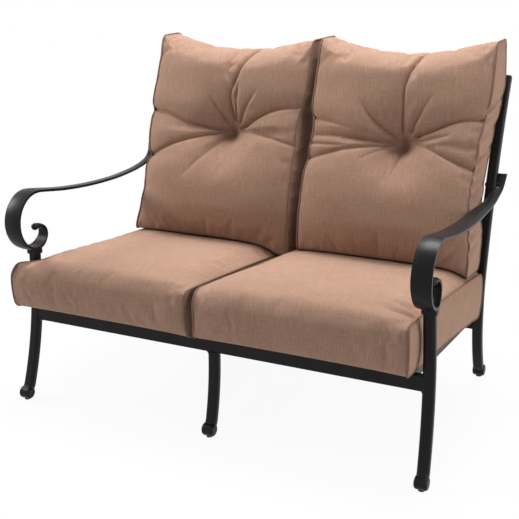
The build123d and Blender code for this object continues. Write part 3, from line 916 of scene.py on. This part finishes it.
# Each fold: points of (across, height, depth), its width and its broad valley's depth share
left_folds = (
    (
        (
            (-0.264, 0.792, 0.006),
            (-0.184, 0.788, 0.008),
            (-0.092, 0.752, 0.009),
            (-0.006, 0.741, 0.01),
        ),
        0.0085,
        0.55,
    ),
    (
        (
            (-0.252, 0.65, 0.006),
            (-0.173, 0.697, 0.006),
            (-0.088, 0.724, 0.007),
            (-0.012, 0.734, 0.009),
        ),
        0.0085,
        0.6,
    ),
    (
        ((0.25, 0.826, 0.004), (0.177, 0.822, 0.007), (0.114, 0.793, 0.0095), (0.05, 0.746, 0.01)),
        0.0085,
        0.6,
    ),
    (
        ((0.05, 0.742, 0.009), (0.097, 0.75, 0.007), (0.167, 0.738, 0.005), (0.252, 0.712, 0.002)),
        0.007,
        0.5,
    ),
    (
        (
            (0.086, 1.0, 0.01),
            (0.052, 0.958, 0.009),
            (0.034, 0.902, 0.006),
            (0.012, 0.849, 0.006),
            (0.028, 0.77, 0.009),
        ),
        0.0085,
        0.35,
    ),
    (((-0.058, 0.86, 0.001), (-0.03, 0.81, 0.004), (0.001, 0.757, 0.009)), 0.009, 0.4),
    (((0.044, 0.885, 0.003), (0.039, 0.82, 0.005), (0.034, 0.765, 0.008)), 0.007, 0.2),
    (((0.11, 0.87, 0.001), (0.075, 0.82, 0.005), (0.044, 0.764, 0.008)), 0.008, 0.3),
    (((-0.1, 0.61, 0.001), (-0.05, 0.665, 0.003), (0.0, 0.725, 0.008)), 0.012, 0.5),
    (((0.13, 0.79, 0.001), (0.09, 0.775, 0.004), (0.05, 0.75, 0.006)), 0.006, 0.2),
)
right_folds = (
    (((-0.27, 0.8, 0.005), (-0.2, 0.795, 0.004), (-0.14, 0.782, 0.001)), 0.007, 0.4),
    (
        (
            (-0.245, 0.752, 0.004),
            (-0.18, 0.76, 0.005),
            (-0.134, 0.755, 0.006),
            (-0.005, 0.742, 0.01),
        ),
        0.008,
        0.5,
    ),
    (((-0.262, 0.725, 0.004), (-0.2, 0.732, 0.004), (-0.15, 0.733, 0.001)), 0.0065, 0.3),
    (
        (
            (-0.266, 0.68, 0.005),
            (-0.19, 0.712, 0.006),
            (-0.12, 0.73, 0.005),
            (-0.012, 0.738, 0.009),
        ),
        0.008,
        0.5,
    ),
    (
        ((0.258, 0.822, 0.005), (0.192, 0.826, 0.007), (0.127, 0.8, 0.0095), (0.06, 0.764, 0.009)),
        0.0085,
        0.6,
    ),
    (((0.16, 0.779, 0.002), (0.11, 0.765, 0.007), (0.044, 0.746, 0.01)), 0.008, 0.4),
    (
        ((0.06, 0.744, 0.006), (0.1, 0.742, 0.005), (0.167, 0.718, 0.006), (0.252, 0.682, 0.005)),
        0.0075,
        0.6,
    ),
    (
        (
            (0.05, 1.0, 0.011),
            (0.03, 0.96, 0.009),
            (0.014, 0.91, 0.006),
            (0.016, 0.86, 0.006),
            (0.012, 0.77, 0.008),
        ),
        0.0085,
        0.35,
    ),
    (((-0.114, 0.86, 0.001), (-0.07, 0.805, 0.006), (-0.01, 0.753, 0.009)), 0.009, 0.4),
    (((0.1, 0.88, 0.001), (0.07, 0.835, 0.004), (0.04, 0.775, 0.007)), 0.009, 0.3),
    (((0.012, 0.66, 0.001), (0.016, 0.7, 0.005)), 0.007, 0.1),
    (((-0.09, 0.7, 0.001), (-0.05, 0.72, 0.003), (-0.01, 0.734, 0.006)), 0.008, 0.3),
)
# Each pucker of the right back cushion's outer panel: its height and its depth
side_puckers = (
    (0.842, 0.014),
    (0.815, 0.007),
    (0.765, 0.006),
    (0.705, 0.012),
    (0.675, 0.007),
    (0.64, 0.01),
    (0.605, 0.007),
    (0.56, 0.01),
    (0.5, 0.007),
    (0.46, 0.007),
)
# Puckers in the right seat cushion by the arm: points of (x, y, depth), and a width
arm_puckers = (
    (((0.46, -0.3, 0.001), (0.51, -0.312, 0.007), (0.56, -0.318, 0.01)), 0.011),
    (((0.47, -0.352, 0.001), (0.51, -0.356, 0.008), (0.558, -0.35, 0.011)), 0.011),
)
# Side edges of the back cushions: rows of (height, place across)
left_cushion_left = (
    (0.4, -0.287),
    (0.464, -0.268),
    (0.546, -0.253),
    (0.612, -0.259),
    (0.632, -0.255),
    (0.647, -0.248),
    (0.662, -0.259),
    (0.761, -0.266),
    (0.781, -0.263),
    (0.806, -0.272),
    (0.886, -0.266),
    (0.957, -0.264),
    (1.02, -0.27),
    (1.04, -0.272),
)
left_cushion_right = (
    (0.4, 0.257),
    (0.525, 0.262),
    (0.656, 0.256),
    (0.722, 0.254),
    (0.767, 0.251),
    (0.811, 0.252),
    (0.845, 0.262),
    (0.864, 0.267),
    (1.03, 0.268),
)
right_cushion_left = (
    (0.4, -0.27),
    (0.635, -0.27),
    (0.69, -0.263),
    (0.779, -0.259),
    (0.818, -0.272),
    (1.03, -0.275),
)
right_cushion_right = (
    (0.4, 0.255),
    (0.5, 0.258),
    (0.56, 0.245),
    (0.66, 0.244),
    (0.716, 0.247),
    (0.79, 0.25),
    (0.836, 0.26),
    (0.902, 0.264),
    (1.04, 0.261),
)

seat_counts = (68, 68, 16)
back_counts = (48, 56, 14)
cushions = (
    Cushion(
        "seat_cover_left",
        "seat_cushion_left",
        seat_shape(
            ear_line,
            gap_line(gap_front_x - gap_half, gap_rear_x - gap_half, -1),
            seat_side_bulge,
            0,
        ),
        seat_counts,
        seat_step,
        (1, 0.03),
    ),
    Cushion(
        "seat_cover_right",
        "seat_cushion_right",
        seat_shape(
            gap_line(gap_front_x + gap_half, gap_rear_x + gap_half, 1),
            side_line(right_front_x, right_rear_x),
            0,
            seat_side_bulge,
        ),
        seat_counts,
        seat_step,
        (0.03, 1),
    ),
    Cushion(
        "back_cover_left",
        "back_cushion_left",
        back_shape(
            left_back_x,
            left_cushion_left,
            left_cushion_right,
            left_seat_ends,
            left_back_tops,
        ),
        back_counts,
        back_step,
        (0.6, 0.3),
    ),
    Cushion(
        "back_cover_right",
        "back_cushion_right",
        back_shape(
            right_back_x,
            right_cushion_left,
            right_cushion_right,
            right_seat_ends,
            right_back_tops,
        ),
        back_counts,
        back_step,
        (0.3, 0.03),
    ),
)
pin_makers = (seat_pins, seat_pins, back_pins(left_back_x), back_pins(right_back_x))
dressings = (
    lambda piece: press_seat(piece, ()),
    lambda piece: press_seat(piece, arm_puckers),
    lambda piece: press(piece, left_back_x, left_folds, ()),
    lambda piece: press(piece, right_back_x, right_folds, side_puckers),
)
caps = (seat_cap, seat_cap, back_cap, back_cap)

canvas = canvas_material()
shaded_piping_canvas = shaded_piping_material()
covers = []
for cushion, make_pins in zip(cushions, pin_makers):
    mesh = bpy.data.meshes.new(cushion.name)
    cushion.mesh.to_mesh(mesh)
    cover = bpy.data.objects.new(cushion.name, mesh)
    bpy.context.scene.collection.objects.link(cover)
    covers.append((cover, cushion, make_pins(cushion)))
puff([(cover, pins, seam_gaps(cushion)) for cover, cushion, pins in covers], caps)
for (cover, cushion, pins), dress in zip(covers, dressings):
    seams = [cushion.seam(-1), cushion.seam(1)]
    subdivide(cover, 1 if cushion.body.startswith("seat") else 2)
    dress(cover)
    cover.data.materials.clear()
    cover.data.materials.append(canvas)
    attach(cover, cushion.body)
    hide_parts(cushion.body)
    for seam, side in zip(seams, ("left", "right")):
        points = [cover.data.vertices[index] for index in seam]
        ring = [off_deck(vertex.co + vertex.normal * piping_set) for vertex in points]
        add_piping(f"{cushion.name}_piping_{side}", cushion.body, ring, shaded_piping_canvas)

# The frame keeps its CAD shapes and gets its finish
coat = frame_material()
steel = plain_material("dark_steel", (0.03, 0.03, 0.032), (0.06, 0.06, 0.065), 0.35, 1, 900)
rubber = plain_material("glide_rubber", (0.02, 0.02, 0.02), (0.04, 0.04, 0.04), 0.6, 0, 600)
steel_names = ("arm_leg_studs", "arm_post_bolts", "slat_screws")
for name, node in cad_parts.items():
    finish = coat
    if name in steel_names:
        finish = steel
    if name.endswith("glide"):
        finish = rubber
    node.data.materials.clear()
    node.data.materials.append(finish)

# Floor, light and camera
floor_mesh = bpy.data.meshes.new("floor")
floor_half = 6
corners = ((-1, -1), (1, -1), (1, 1), (-1, 1))
floor_mesh.from_pydata([(x * floor_half, y * floor_half, 0) for x, y in corners], [], [(0, 1, 2, 3)])
floor = bpy.data.objects.new("floor", floor_mesh)
bpy.context.scene.collection.objects.link(floor)
floor_mesh.materials.append(floor_material())
light_world()
add_lamp("key", (-3.2, -0.8, 2.3), (0, 0, 0.6), 1.2, 104)
add_lamp("side", (3.1, -0.3, 1.6), (0, 0, 0.5), 2.2, 52)
add_lamp("top", (0.1, 0.75, 3.2), (0, 0, 0.4), 1.5, 118)
add_camera()
bpy.context.scene.view_settings.view_transform = "Standard"
